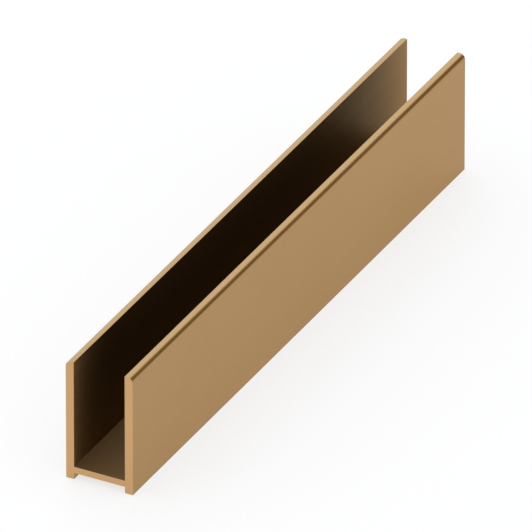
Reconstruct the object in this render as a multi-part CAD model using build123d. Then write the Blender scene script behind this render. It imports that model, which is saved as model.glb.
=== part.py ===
"""Glazing channel: one bar of extruded aluminium, sawn to length.

The section is a deep U. Its web sits a little above the bottom of the two flanges, so the
bar stands on two feet and leaves a shallow recess for sealing tape under the web. The
outer rim of each flange is rounded over. The frame has +Z up and +Y along the bar, with
the origin at the middle of the bar's footprint.
"""

from build123d import *
import os

# Driving dimensions, in millimetres
LENGTH = 238.0
WIDTH = 25.0
HEIGHT = 45.0
FLANGE_WALL = 3.0
WEB_WALL = 2.4
FOOT_HEIGHT = 2.4

# Corners of the section: rounded rims, crisp outside corners, crisp inside corners
RIM_RADIUS = 2.0
EDGE_RADIUS = 0.12
ROOT_RADIUS = 0.12

# Burr taken off the edges of both saw cuts
END_CHAMFER = 0.05

# Sizes that follow from the driving dimensions
SLOT_WIDTH = WIDTH - 2 * FLANGE_WALL
SLOT_FLOOR = FOOT_HEIGHT + WEB_WALL
SLOT_DEPTH = HEIGHT - SLOT_FLOOR

# A thin flange limits the round of its rim, so that the rim keeps a flat and its full height
RIM_ROUND = min(RIM_RADIUS, FLANGE_WALL - 2 * EDGE_RADIUS)


def sharp_section() -> Sketch:
    """The section with square corners: a block less the panel slot and the tape recess."""
    from_below = (Align.CENTER, Align.MIN)
    block = Rectangle(WIDTH, HEIGHT, align=from_below)
    panel_slot = Pos(0, SLOT_FLOOR) * Rectangle(SLOT_WIDTH, SLOT_DEPTH, align=from_below)
    tape_recess = Rectangle(SLOT_WIDTH, FOOT_HEIGHT, align=from_below)
    return block - panel_slot - tape_recess


def corner_pair(section: Sketch, half_width: float, height: float) -> list[Vertex]:
    """The left and the right corner of the section at that half width and height."""
    corners = section.vertices()
    return [corners.sort_by_distance((x, height))[0] for x in (-half_width, half_width)]


def rounded_section() -> Sketch:
    """The section as it leaves the die, with a radius on every corner."""
    outside, inside = WIDTH / 2, SLOT_WIDTH / 2
    section = sharp_section()
    section = fillet(corner_pair(section, outside, HEIGHT), RIM_ROUND)
    section = fillet(corner_pair(section, inside, HEIGHT), EDGE_RADIUS)
    section = fillet(corner_pair(section, inside, SLOT_FLOOR), ROOT_RADIUS)
    section = fillet(corner_pair(section, inside, FOOT_HEIGHT), ROOT_RADIUS)
    section = fillet(corner_pair(section, inside, 0), EDGE_RADIUS)
    return fillet(corner_pair(section, outside, 0), EDGE_RADIUS)


def channel_profile() -> Part:
    """The bar: the section run along Y, with the burr taken off both saw cuts."""
    bar = extrude(Plane.XZ * rounded_section(), LENGTH / 2, both=True)
    saw_cuts = bar.faces().filter_by(Axis.Y)
    return chamfer(saw_cuts.edges(), END_CHAMFER)


os.makedirs("parts", exist_ok=True)
export_step(channel_profile(), "parts/channel_profile.step")
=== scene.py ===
"""Looks of the glazing channel: a bar of bronze-gold anodised aluminium in a soft light tent.

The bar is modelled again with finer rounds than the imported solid, at the same sizes and in the
same place, and takes its place in the picture. Lengths are in metres and angles in degrees.
"""

import logging
import math
from abc import ABC, abstractmethod
from dataclasses import dataclass, field
from enum import Enum

import bmesh
import bpy
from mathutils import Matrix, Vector

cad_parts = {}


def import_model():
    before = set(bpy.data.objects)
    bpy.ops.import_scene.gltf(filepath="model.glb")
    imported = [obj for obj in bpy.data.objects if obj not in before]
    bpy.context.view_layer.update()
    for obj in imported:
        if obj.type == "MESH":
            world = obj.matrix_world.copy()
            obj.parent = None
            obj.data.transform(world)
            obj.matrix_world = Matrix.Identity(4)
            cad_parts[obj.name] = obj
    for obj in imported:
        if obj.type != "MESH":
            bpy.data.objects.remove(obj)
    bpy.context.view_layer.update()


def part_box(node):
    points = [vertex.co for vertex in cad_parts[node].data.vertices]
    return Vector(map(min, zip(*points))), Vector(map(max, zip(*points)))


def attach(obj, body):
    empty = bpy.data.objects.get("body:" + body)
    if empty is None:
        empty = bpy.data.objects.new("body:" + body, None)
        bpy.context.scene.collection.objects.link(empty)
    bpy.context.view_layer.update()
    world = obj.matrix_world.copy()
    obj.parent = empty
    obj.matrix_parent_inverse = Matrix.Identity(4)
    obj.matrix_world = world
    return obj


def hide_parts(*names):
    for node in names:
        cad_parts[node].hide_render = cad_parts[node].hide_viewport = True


LOG = logging.getLogger("channel")
MM = 0.001
NODE = "channel_profile"
BODY = "root"

# Radians that Blender's ring wave turns through for each unit of its scaled coordinates
RING_WAVE_RATE = 20.0

Colour = tuple[float, float, float]
Tree = bpy.types.NodeTree
Socket = bpy.types.NodeSocket


class Corner(Enum):
    """The kinds of corner that the section has."""

    RIM = "rounded outer rim of a flange"
    EDGE = "crisp outside corner"
    ROOT = "crisp inside corner"


class Surface(Enum):
    """The kinds of surface on the bar, numbered as its material slots."""

    DRAWN = 0
    SAWN = 1
    SLOT_WALL = 2
    SLOT_FLOOR = 3


def opaque(colour: Colour) -> tuple[float, float, float, float]:
    """The colour with full alpha."""
    return (*colour, 1.0)


def add_node(tree: Tree, kind: str, **settings: object) -> bpy.types.Node:
    """Add a node to a tree and set it up.

    Args:
        tree: The node tree of a material, a world or a group.
        kind: The node's Blender type name.
        settings: Node properties by name, set before anything is linked.

    Returns:
        The new node.
    """
    node = tree.nodes.new(kind)
    for name, value in settings.items():
        setattr(node, name, value)
    return node


def feed(tree: Tree, target: Socket, source: object) -> None:
    """Link a socket into another, or set a constant on it.

    Args:
        tree: The node tree that holds the target.
        target: The input socket.
        source: An output socket to link, or a value to set.
    """
    if isinstance(source, Socket):
        tree.links.new(source, target)
    else:
        target.default_value = source


def math_node(tree: Tree, operation: str, *values: object) -> Socket:
    """Add a Math node.

    Args:
        tree: The node tree to add it to.
        operation: The node's operation, such as MULTIPLY.
        values: One output socket or number for each input.

    Returns:
        The node's output socket.
    """
    node = add_node(tree, "ShaderNodeMath", operation=operation)
    for target, value in zip(node.inputs, values):
        feed(tree, target, value)
    return node.outputs["Value"]


def map_range(tree: Tree, value: object, source: tuple[object, object], target: tuple[object, object],
              smooth: bool = False) -> Socket:
    """Add a clamped Map Range node.

    Args:
        tree: The node tree to add it to.
        value: The socket that is mapped.
        source: The range that the value is read in.
        target: The range that it is mapped to.
        smooth: Whether the ends are eased.

    Returns:
        The node's output socket.
    """
    node = add_node(tree, "ShaderNodeMapRange", clamp=True,
                    interpolation_type="SMOOTHSTEP" if smooth else "LINEAR")
    names = ("Value", "From Min", "From Max", "To Min", "To Max")
    for name, entry in zip(names, (value, *source, *target)):
        feed(tree, node.inputs[name], entry)
    return node.outputs["Result"]


def mix_colour(tree: Tree, factor: object, first: object, second: object) -> Socket:
    """Add a Mix node for colours.

    Args:
        tree: The node tree to add it to.
        factor: The share of the second colour.
        first: The colour at factor 0.
        second: The colour at factor 1.

    Returns:
        The node's colour output.
    """
    node = add_node(tree, "ShaderNodeMix", data_type="RGBA")
    by_kind = [socket for socket in node.inputs if socket.type == "RGBA"]
    feed(tree, node.inputs[0], factor)
    feed(tree, by_kind[0], first)
    feed(tree, by_kind[1], second)
    return next(socket for socket in node.outputs if socket.type == "RGBA")


def as_object(mesh: bmesh.types.BMesh, name: str) -> bpy.types.Object:
    """Turn a finished bmesh into an object of the scene, and free it.

    Args:
        mesh: The bmesh.
        name: The name of the object and its mesh.

    Returns:
        The new object.
    """
    data = bpy.data.meshes.new(name)
    mesh.to_mesh(data)
    mesh.free()
    made = bpy.data.objects.new(name, data)
    bpy.context.scene.collection.objects.link(made)
    return made


@dataclass(frozen=True)
class EtchedGrain:
    """The matt grain that etching leaves on the metal before it is anodised, as a shared node group."""

    name: str = "etched_grain"
    cloud_size: float = 38 * MM
    grain_detail: float = 3.0
    cloud_detail: float = 2.0

    def group(self) -> Tree:
        """The node group, built on first use.

        Returns:
            A group with the inputs Vector and Grain Scale, and the outputs Grain and Cloud from 0 to 1.
        """
        made = bpy.data.node_groups.get(self.name)
        return made if made else self._build()

    def _build(self) -> Tree:
        """Build the group: fine noise for the grain, broad noise for the uneven depth of the dye.

        Returns:
            The new node group.
        """
        tree = bpy.data.node_groups.new(self.name, "ShaderNodeTree")
        tree.interface.new_socket("Vector", in_out="INPUT", socket_type="NodeSocketVector")
        tree.interface.new_socket("Grain Scale", in_out="INPUT", socket_type="NodeSocketFloat")
        tree.interface.new_socket("Grain", in_out="OUTPUT", socket_type="NodeSocketFloat")
        tree.interface.new_socket("Cloud", in_out="OUTPUT", socket_type="NodeSocketFloat")
        given = add_node(tree, "NodeGroupInput")
        result = add_node(tree, "NodeGroupOutput")
        grain = add_node(tree, "ShaderNodeTexNoise")
        feed(tree, grain.inputs["Vector"], given.outputs["Vector"])
        feed(tree, grain.inputs["Scale"], given.outputs["Grain Scale"])
        feed(tree, grain.inputs["Detail"], self.grain_detail)
        cloud = add_node(tree, "ShaderNodeTexNoise")
        feed(tree, cloud.inputs["Vector"], given.outputs["Vector"])
        feed(tree, cloud.inputs["Scale"], 1 / self.cloud_size)
        feed(tree, cloud.inputs["Detail"], self.cloud_detail)
        feed(tree, result.inputs["Grain"], grain.outputs["Fac"])
        feed(tree, result.inputs["Cloud"], cloud.outputs["Fac"])
        return tree


@dataclass(frozen=True)
class AnodisedFinish(ABC):
    """Bronze-gold anodised aluminium: satin metal under a thin dyed film of oxide.

    The tone of the film is the sum of a share of the tool's marks and a share of the dye's clouds,
    and its roughness runs from the roughest to the smoothest over the tone range. Light that comes
    in at a slant goes a longer way through the dye. The slant tint is the share of it that is left
    near grazing.
    """

    name: str
    pale: Colour
    deep: Colour
    smoothest: float
    roughest: float
    grain_size: float
    grain_share: float
    relief: float
    marks_tone: float = 0.5
    cloud_tone: float = 0.5
    tone_range: tuple[float, float] = (0.3, 0.7)
    slant_tint: Colour = (0.85, 0.80, 0.70)
    film_weight: float = 0.05
    film_index: float = 1.5
    film_roughness: float = 0.3
    grain: EtchedGrain = EtchedGrain()

    @abstractmethod
    def marks(self, tree: Tree, place: Socket) -> Socket:
        """Add the marks that the tool left on this surface.

        Args:
            tree: The material's node tree.
            place: Object coordinates.

        Returns:
            The marks' height, from 0 to 1.
        """

    def film(self, tree: Tree, place: Socket, tone: Socket) -> tuple[Socket, Socket]:
        """Add the colour and the roughness of the dyed film.

        Args:
            tree: The material's node tree.
            place: Object coordinates.
            tone: How pale and smooth the film is, from 0 to 1.

        Returns:
            The colour and the roughness.
        """
        colour = mix_colour(tree, tone, opaque(self.deep), opaque(self.pale))
        roughness = map_range(tree, tone, self.tone_range, (self.roughest, self.smoothest))
        return colour, roughness

    def material(self) -> bpy.types.Material:
        """Build the finish.

        Returns:
            A new material with the film, the grain and the marks.
        """
        material = bpy.data.materials.new(self.name)
        material.use_nodes = True
        tree = material.node_tree
        shader = tree.nodes["Principled BSDF"]
        place = add_node(tree, "ShaderNodeTexCoord").outputs["Object"]
        etched = add_node(tree, "ShaderNodeGroup", node_tree=self.grain.group())
        feed(tree, etched.inputs["Vector"], place)
        feed(tree, etched.inputs["Grain Scale"], 1 / self.grain_size)
        marks = self.marks(tree, place)
        clouds = math_node(tree, "MULTIPLY", etched.outputs["Cloud"], self.cloud_tone)
        tone = math_node(tree, "MULTIPLY_ADD", marks, self.marks_tone, clouds)
        colour, roughness = self.film(tree, place, tone)
        feed(tree, shader.inputs["Base Color"], colour)
        feed(tree, shader.inputs["Roughness"], roughness)
        own_share = math_node(tree, "MULTIPLY", marks, 1 - self.grain_share)
        height = math_node(tree, "MULTIPLY_ADD", etched.outputs["Grain"], self.grain_share, own_share)
        bump = add_node(tree, "ShaderNodeBump")
        feed(tree, bump.inputs["Distance"], self.relief)
        feed(tree, bump.inputs["Height"], height)
        feed(tree, shader.inputs["Normal"], bump.outputs["Normal"])
        shader.inputs["Metallic"].default_value = 1.0
        shader.inputs["Specular Tint"].default_value = opaque(self.slant_tint)
        shader.inputs["Coat Weight"].default_value = self.film_weight
        shader.inputs["Coat IOR"].default_value = self.film_index
        shader.inputs["Coat Roughness"].default_value = self.film_roughness
        return material


@dataclass(frozen=True)
class DrawnFinish(AnodisedFinish):
    """The long faces, with the faint lines that the die draws along the bar."""

    line_width: float = 1.8 * MM
    line_length: float = 400 * MM
    line_detail: float = 2.0

    def marks(self, tree: Tree, place: Socket) -> Socket:
        """Add the die lines: noise that is stretched along the bar.

        Args:
            tree: The material's node tree.
            place: Object coordinates.

        Returns:
            The lines' height, from 0 to 1.
        """
        stretch = add_node(tree, "ShaderNodeMapping")
        feed(tree, stretch.inputs["Vector"], place)
        across, along = 1 / self.line_width, 1 / self.line_length
        feed(tree, stretch.inputs["Scale"], (across, along, across))
        lines = add_node(tree, "ShaderNodeTexNoise")
        feed(tree, lines.inputs["Vector"], stretch.outputs["Vector"])
        feed(tree, lines.inputs["Scale"], 1.0)
        feed(tree, lines.inputs["Detail"], self.line_detail)
        return lines.outputs["Fac"]


@dataclass(frozen=True)
class PaintedSlotWallFinish(DrawnFinish):
    """The walls of the slot, which are more matt towards the open ends than further in, and paler there
    as painted light that falls into the slot at its ends.
    """

    # Painted light: the end colour stands for light that falls into the slot at its open ends
    painted_end_light_colour: Colour = (0.370, 0.224, 0.095)
    end_roughness: float = 0.58
    end_reach: float = 28 * MM
    end_falloff: float = 2.0
    half_length: float = field(kw_only=True)

    def film(self, tree: Tree, place: Socket, tone: Socket) -> tuple[Socket, Socket]:
        """Add the colour and the roughness of the dyed film, with painted light towards the open ends.

        Args:
            tree: The material's node tree.
            place: Object coordinates.
            tone: How pale and smooth the film is, from 0 to 1.

        Returns:
            The colour and the roughness.
        """
        split = add_node(tree, "ShaderNodeSeparateXYZ")
        feed(tree, split.inputs["Vector"], place)
        along = math_node(tree, "ABSOLUTE", split.outputs["Y"])
        reach = (self.half_length - self.end_reach, self.half_length)
        nearness = map_range(tree, along, reach, (0.0, 1.0))
        painted_end_light_share = math_node(tree, "POWER", nearness, self.end_falloff)
        colour, roughness = super().film(tree, place, tone)
        # Painted light: the walls pale towards the open ends, where light falls into the slot
        colour = mix_colour(tree, painted_end_light_share, colour, opaque(self.painted_end_light_colour))
        roughness = map_range(tree, painted_end_light_share, (0.0, 1.0), (roughness, self.end_roughness))
        return colour, roughness


@dataclass(frozen=True)
class SawnFinish(AnodisedFinish):
    """The end faces, with the shallow arcs that the saw blade leaves."""

    axis_offset: float = 160 * MM
    tooth_step: float = 0.7 * MM
    waver: float = 1.6
    waver_size: float = 9 * MM

    def marks(self, tree: Tree, place: Socket) -> Socket:
        """Add the saw marks: rings about the blade's axis, which lies beside and above the bar.

        Args:
            tree: The material's node tree.
            place: Object coordinates.

        Returns:
            The arcs' height, from 0 to 1.
        """
        axis = add_node(tree, "ShaderNodeMapping")
        feed(tree, axis.inputs["Vector"], place)
        feed(tree, axis.inputs["Location"], (self.axis_offset, 0.0, -self.axis_offset))
        rings = add_node(tree, "ShaderNodeTexWave", wave_type="RINGS", rings_direction="Y",
                         wave_profile="SIN")
        feed(tree, rings.inputs["Vector"], axis.outputs["Vector"])
        feed(tree, rings.inputs["Scale"], 2 * math.pi / (RING_WAVE_RATE * self.tooth_step))
        feed(tree, rings.inputs["Distortion"], self.waver)
        feed(tree, rings.inputs["Detail Scale"], self.tooth_step / self.waver_size)
        return rings.outputs["Fac"]


@dataclass
class ChannelBar:
    """The bar: a deep U section run straight, with a raised web, two feet and rounded rims."""

    low: Vector
    high: Vector
    finishes: dict[Surface, AnodisedFinish]
    flange_wall: float = 3.0 * MM
    web_wall: float = 2.4 * MM
    foot_height: float = 2.4 * MM
    rim_radius: float = 2.0 * MM
    edge_radius: float = 0.12 * MM
    root_radius: float = 0.12 * MM
    end_break: float = 0.05 * MM
    rim_steps: int = 20
    edge_steps: int = 8
    end_steps: int = 3
    saw_cut_slant: float = 30.0
    flat_weight: int = 100

    @property
    def outer(self) -> float:
        """Half the bar's width."""
        return (self.high.x - self.low.x) / 2

    @property
    def inner(self) -> float:
        """Half the slot's width."""
        return self.outer - self.flange_wall

    @property
    def under_web(self) -> float:
        """The height of the web's underside."""
        return self.low.z + self.foot_height

    @property
    def slot_floor(self) -> float:
        """The height of the slot's floor."""
        return self.under_web + self.web_wall

    def corners(self) -> list[tuple[Corner, float, float]]:
        """The section's corners in order round the outline.

        Returns:
            The kind of each corner with its place across and up.
        """
        base, top = self.low.z, self.high.z
        right = [
            (Corner.ROOT, self.inner, self.under_web),
            (Corner.EDGE, self.inner, base),
            (Corner.EDGE, self.outer, base),
            (Corner.RIM, self.outer, top),
            (Corner.EDGE, self.inner, top),
            (Corner.ROOT, self.inner, self.slot_floor),
        ]
        left = [(kind, -across, up) for kind, across, up in reversed(right)]
        return right + left

    def radius_and_steps(self, kind: Corner) -> tuple[float, int]:
        """The radius of a kind of corner, and the number of facets of its round.

        Args:
            kind: The kind of corner.

        Returns:
            The radius and the number of facets.
        """
        sizes = {
            Corner.RIM: (self.rim_radius, self.rim_steps),
            Corner.EDGE: (self.edge_radius, self.edge_steps),
            Corner.ROOT: (self.root_radius, self.edge_steps),
        }
        return sizes[kind]

    def build(self) -> bpy.types.Object:
        """Model the bar: outline the section, round its corners, extrude it and break the ends' edges.

        Returns:
            The bar's object, with its place in its mesh.
        """
        mesh = bmesh.new()
        self._outline(mesh)
        self._run(mesh)
        self._break_ends(mesh)
        bmesh.ops.recalc_face_normals(mesh, faces=mesh.faces)
        self._sort_surfaces(mesh)
        return as_object(mesh, "channel_bar")

    def _outline(self, mesh: bmesh.types.BMesh) -> None:
        """Lay the section's face at the near end and round each kind of corner.

        Args:
            mesh: The mesh to add to.
        """
        by_kind: dict[Corner, list[bmesh.types.BMVert]] = {kind: [] for kind in Corner}
        outline = []
        for kind, across, up in self.corners():
            vertex = mesh.verts.new((across, self.low.y, up))
            by_kind[kind].append(vertex)
            outline.append(vertex)
        mesh.faces.new(outline)
        for kind, vertices in by_kind.items():
            radius, steps = self.radius_and_steps(kind)
            bmesh.ops.bevel(mesh, geom=vertices, offset=radius, offset_type="OFFSET", affect="VERTICES",
                            segments=steps, profile=0.5, material=-1, clamp_overlap=False)

    def _run(self, mesh: bmesh.types.BMesh) -> None:
        """Extrude the section to the far end.

        Args:
            mesh: The mesh that holds the section's face.
        """
        run = bmesh.ops.extrude_face_region(mesh, geom=list(mesh.faces), use_keep_orig=True)
        far = [item for item in run["geom"] if isinstance(item, bmesh.types.BMVert)]
        bmesh.ops.translate(mesh, verts=far, vec=(0.0, self.high.y - self.low.y, 0.0))

    def _break_ends(self, mesh: bmesh.types.BMesh) -> None:
        """Take the burr off both saw cuts.

        Args:
            mesh: The mesh of the square-cut bar.
        """
        cut_edges = [edge for edge in mesh.edges
                     if abs(edge.verts[0].co.y - edge.verts[1].co.y) < self.end_break]
        bmesh.ops.bevel(mesh, geom=cut_edges, offset=self.end_break, offset_type="OFFSET", affect="EDGES",
                        segments=self.end_steps, profile=0.5, material=-1, clamp_overlap=False)

    def _sort_surfaces(self, mesh: bmesh.types.BMesh) -> None:
        """Give each face its kind of surface, and shade the rounds smooth.

        Args:
            mesh: The finished mesh.
        """
        mesh.normal_update()
        for face in mesh.faces:
            face.smooth = True
            face.material_index = self._surface(face).value

    def _surface(self, face: bmesh.types.BMFace) -> Surface:
        """Tell a face's kind of surface by the way it points and by its place.

        Args:
            face: A face of the finished mesh.

        Returns:
            The kind of surface.
        """
        if abs(face.normal.y) > math.cos(math.radians(self.saw_cut_slant)):
            return Surface.SAWN
        middle = face.calc_center_median()
        slack = self.end_break / 2
        if abs(middle.x) > self.inner + slack or middle.z < self.slot_floor - slack:
            return Surface.DRAWN
        if middle.z > self.high.z - self.edge_radius:
            return Surface.DRAWN
        if middle.z < self.slot_floor + self.root_radius:
            return Surface.SLOT_FLOOR
        return Surface.SLOT_WALL

    def dress(self, bar: bpy.types.Object) -> None:
        """Give the bar its finishes, and keep its flats flat beside the rounds.

        Args:
            bar: The bar's object.
        """
        for surface in Surface:
            bar.data.materials.append(self.finishes[surface].material())
        weighted = bar.modifiers.new("flat_faces", "WEIGHTED_NORMAL")
        weighted.mode = "FACE_AREA"
        weighted.weight = self.flat_weight


@dataclass(frozen=True)
class Card:
    """A round card in the dome with a soft edge, placed by angles as seen from the bar.

    The azimuth runs from +Y towards +X. The core and the edge are half angles: the card has its
    full colour out to the core and fades into the dome at the edge.
    """

    colour: Colour
    azimuth: float
    height: float
    core: float
    edge: float

    def direction(self) -> Vector:
        """Work out where the card hangs.

        Returns:
            The way from the bar to the middle of the card, as a unit vector.
        """
        turn, lift = math.radians(self.azimuth), math.radians(self.height)
        level = math.cos(lift)
        return Vector((math.sin(turn) * level, math.cos(turn) * level, math.sin(lift)))

    def cover(self, tree: Tree, ray: Socket) -> Socket:
        """Add the mask of the card.

        Args:
            tree: The world's node tree.
            ray: The direction that is looked in.

        Returns:
            A socket that is 1 on the card and 0 beside it.
        """
        toward = add_node(tree, "ShaderNodeVectorMath", operation="DOT_PRODUCT")
        feed(tree, toward.inputs[0], ray)
        feed(tree, toward.inputs[1], self.direction())
        edge, core = (math.cos(math.radians(angle)) for angle in (self.edge, self.core))
        return map_range(tree, toward.outputs["Value"], (edge, core), (0.0, 1.0), smooth=True)


@dataclass(frozen=True)
class LightTent:
    """The studio: a pale floor under a soft white dome, with a dark and a bright card in the dome.

    Where the camera or a reflection shows the floor, its own share of the look is plain white, and
    the rest is paper that takes light and shade.
    """

    glow: float = 1.03
    dark_card: Card = Card((0.31, 0.24, 0.15), azimuth=29.0, height=6.5, core=28.5, edge=32.5)
    bright_card: Card = Card((1.41, 1.58, 1.83), azimuth=-24.0, height=30.0, core=27.5, edge=33.5)
    floor_white: float = 0.998
    floor_albedo: float = 0.96
    floor_own_share: float = 0.7
    floor_reach: float = 40.0
    horizon: float = 0.004

    def lay_floor(self) -> bpy.types.Object:
        """Lay the floor that the bar stands on.

        Returns:
            The floor's object.
        """
        mesh = bmesh.new()
        bmesh.ops.create_grid(mesh, x_segments=1, y_segments=1, size=self.floor_reach)
        floor = as_object(mesh, "studio_floor")
        floor.data.materials.append(self.floor_material())
        return floor

    def floor_material(self) -> bpy.types.Material:
        """Make the floor's white: matt paper that keeps the bar's shadow, lifted towards plain white.

        Returns:
            The floor's material.
        """
        material = bpy.data.materials.new("studio_floor")
        material.use_nodes = True
        material.cycles.emission_sampling = "NONE"
        tree = material.node_tree
        paper = tree.nodes["Principled BSDF"]
        paper.inputs["Base Color"].default_value = opaque((self.floor_albedo,) * 3)
        paper.inputs["Roughness"].default_value = 1.0
        paper.inputs["Specular IOR Level"].default_value = 0.0
        white = add_node(tree, "ShaderNodeEmission")
        rays = add_node(tree, "ShaderNodeLightPath").outputs
        seen = math_node(tree, "MAXIMUM", rays["Is Camera Ray"], rays["Is Glossy Ray"])
        seen = math_node(tree, "MAXIMUM", seen, rays["Is Transmission Ray"])
        lifted = add_node(tree, "ShaderNodeMixShader")
        feed(tree, lifted.inputs[0], math_node(tree, "MULTIPLY", seen, self.floor_own_share))
        feed(tree, lifted.inputs[1], paper.outputs["BSDF"])
        feed(tree, lifted.inputs[2], white.outputs["Emission"])
        feed(tree, tree.nodes["Material Output"].inputs["Surface"], lifted.outputs["Shader"])
        return material

    def hang_dome(self) -> None:
        """Make the world: the dome above the horizon, and the floor's own white below it."""
        world = bpy.data.worlds.new("light_tent")
        world.use_nodes = True
        bpy.context.scene.world = world
        tree = world.node_tree
        ray = add_node(tree, "ShaderNodeTexCoord").outputs["Generated"]
        dome = opaque((self.glow,) * 3)
        for card in (self.dark_card, self.bright_card):
            dome = mix_colour(tree, card.cover(tree, ray), dome, opaque(card.colour))
        split = add_node(tree, "ShaderNodeSeparateXYZ")
        feed(tree, split.inputs["Vector"], ray)
        above = map_range(tree, split.outputs["Z"], (-self.horizon, self.horizon), (0.0, 1.0))
        colour = mix_colour(tree, above, opaque((self.floor_white,) * 3), dome)
        feed(tree, tree.nodes["Background"].inputs["Color"], colour)


@dataclass(frozen=True)
class LongLens:
    """The camera: far away with a long lens, so that edges along the bar look nearly parallel."""

    azimuth: float = 27.77
    elevation: float = 30.94
    lens: float = 1600.0
    sensor: float = 36.0
    picture_width: float = 177.32 * MM
    aim_right: float = -0.52 * MM
    aim_up: float = -0.77 * MM
    clip_factor: float = 2.0

    def place(self, middle: Vector) -> bpy.types.Object:
        """Aim a camera at the bar and make it the scene's own.

        Args:
            middle: The middle of the bar.

        Returns:
            The camera.
        """
        turn, lift = math.radians(self.azimuth), math.radians(self.elevation)
        level = math.cos(lift)
        back = Vector((math.sin(turn) * level, -math.cos(turn) * level, math.sin(lift)))
        right = Vector((math.cos(turn), math.sin(turn), 0.0))
        up = back.cross(right)
        distance = self.picture_width * self.lens / self.sensor
        data = bpy.data.cameras.new("long_lens")
        data.lens = self.lens
        data.sensor_width = self.sensor
        data.clip_end = self.clip_factor * distance
        camera = bpy.data.objects.new("long_lens", data)
        camera.location = middle + right * self.aim_right + up * self.aim_up + back * distance
        camera.rotation_euler = back.to_track_quat("Z", "Y").to_euler()
        bpy.context.scene.collection.objects.link(camera)
        bpy.context.scene.camera = camera
        return camera


def bar_finishes(half_length: float) -> dict[Surface, AnodisedFinish]:
    """The finish of each kind of surface.

    Args:
        half_length: Half the bar's length, where its ends are.

    Returns:
        The finishes by surface. The slot's walls and floor are etched coarser, and their deeper colour is
        painted shade of the slot. The drawn faces are darker than the sawn ends as painted shade of the
        long faces.
    """
    # Painted shade: the drawn faces take a darker colour than the sawn ends, standing for the shade on
    # the long side
    drawn = DrawnFinish(
        name="anodised_drawn", pale=(0.440, 0.264, 0.112), deep=(0.396, 0.236, 0.098),
        smoothest=0.22, roughest=0.27, grain_size=0.25 * MM, grain_share=0.3, relief=0.001 * MM)
    sawn = SawnFinish(
        name="anodised_sawn", pale=(0.610, 0.370, 0.170), deep=(0.560, 0.335, 0.152),
        smoothest=0.30, roughest=0.36, grain_size=0.25 * MM, grain_share=0.4, relief=0.003 * MM)
    # Painted shade: the slot walls' dark colour stands for the shade deep in the slot
    slot_wall = PaintedSlotWallFinish(
        name="anodised_slot_wall_painted_shade", pale=(0.165, 0.100, 0.042), deep=(0.142, 0.086, 0.036),
        smoothest=0.38, roughest=0.44, grain_size=0.4 * MM, grain_share=0.4, relief=0.003 * MM,
        film_weight=0.01, half_length=half_length)
    # Painted shade: the slot floor's deeper colour stands for the shade in the slot, less deep than on
    # the walls
    slot_floor = DrawnFinish(
        name="anodised_slot_floor_painted_shade", pale=(0.283, 0.175, 0.079), deep=(0.245, 0.151, 0.067),
        smoothest=0.55, roughest=0.61, grain_size=0.4 * MM, grain_share=0.4, relief=0.003 * MM)
    return {
        Surface.DRAWN: drawn,
        Surface.SAWN: sawn,
        Surface.SLOT_WALL: slot_wall,
        Surface.SLOT_FLOOR: slot_floor,
    }


def main() -> None:
    """Load the frame, build and dress the bar, light it and aim the camera."""
    logging.basicConfig(level=logging.INFO, format="%(name)s: %(message)s")
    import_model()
    bpy.context.scene.view_settings.view_transform = "Standard"

    low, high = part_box(NODE)
    finishes = bar_finishes(half_length=(high.y - low.y) / 2)
    channel = ChannelBar(low=low, high=high, finishes=finishes)
    bar = channel.build()
    channel.dress(bar)
    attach(bar, BODY)
    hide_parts(NODE)
    LOG.info("%s: %d faces", bar.name, len(bar.data.polygons))

    tent = LightTent()
    floor = tent.lay_floor()
    tent.hang_dome()
    LOG.info("%s: reach %.1f m", floor.name, tent.floor_reach)

    camera = LongLens().place((low + high) / 2)
    LOG.info("%s: %.2f m from the bar", camera.name, camera.location.length)


if __name__ == "__main__":
    main()
